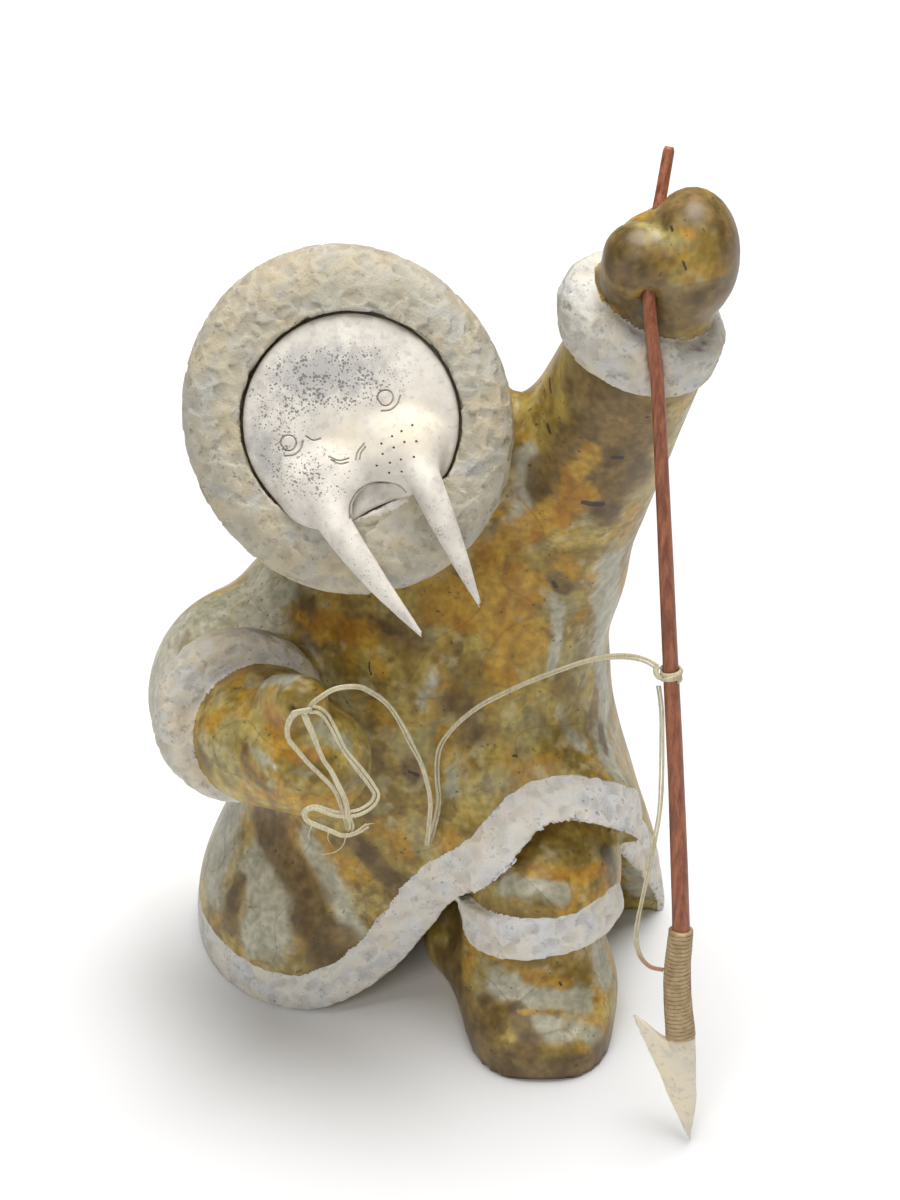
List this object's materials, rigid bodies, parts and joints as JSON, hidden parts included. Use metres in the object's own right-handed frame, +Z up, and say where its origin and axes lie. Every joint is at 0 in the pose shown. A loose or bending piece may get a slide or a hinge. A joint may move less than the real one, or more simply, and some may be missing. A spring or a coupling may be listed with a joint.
{
  "type": "stone hunter sculpture",
  "caption": "Carved stone figure of a kneeling hunter in parka and hood with an inlaid walrus face, holding a raised harpoon and a sinew line, free standing.",
  "frame": {"origin": "bottom centre of the piece without its sinew line, on the surface it stands on", "axes": "+Z up, the figure faces -Y, its raised arm and harpoon are towards +X"},
  "size_m": [0.1787, 0.1734, 0.3033],
  "materials": {
    "soapstone": "polished mottled stone, chiselled pale bands left rough",
    "antler": "carved and lightly polished",
    "shaft": "smooth, streaked lengthwise",
    "lashing": "wound sinew",
    "sinew": "dried flat strip"
  },
  "bodies": {
    "root": {"stone_figure": "soapstone", "walrus_face": "antler", "harpoon_shaft": "shaft", "harpoon_lashing": "lashing", "harpoon_head": "antler", "line_knot": "sinew", "line_hand_to_shaft": "sinew", "line_shaft_to_head": "sinew", "line_hank": "sinew"}
  },
  "joints": []
}
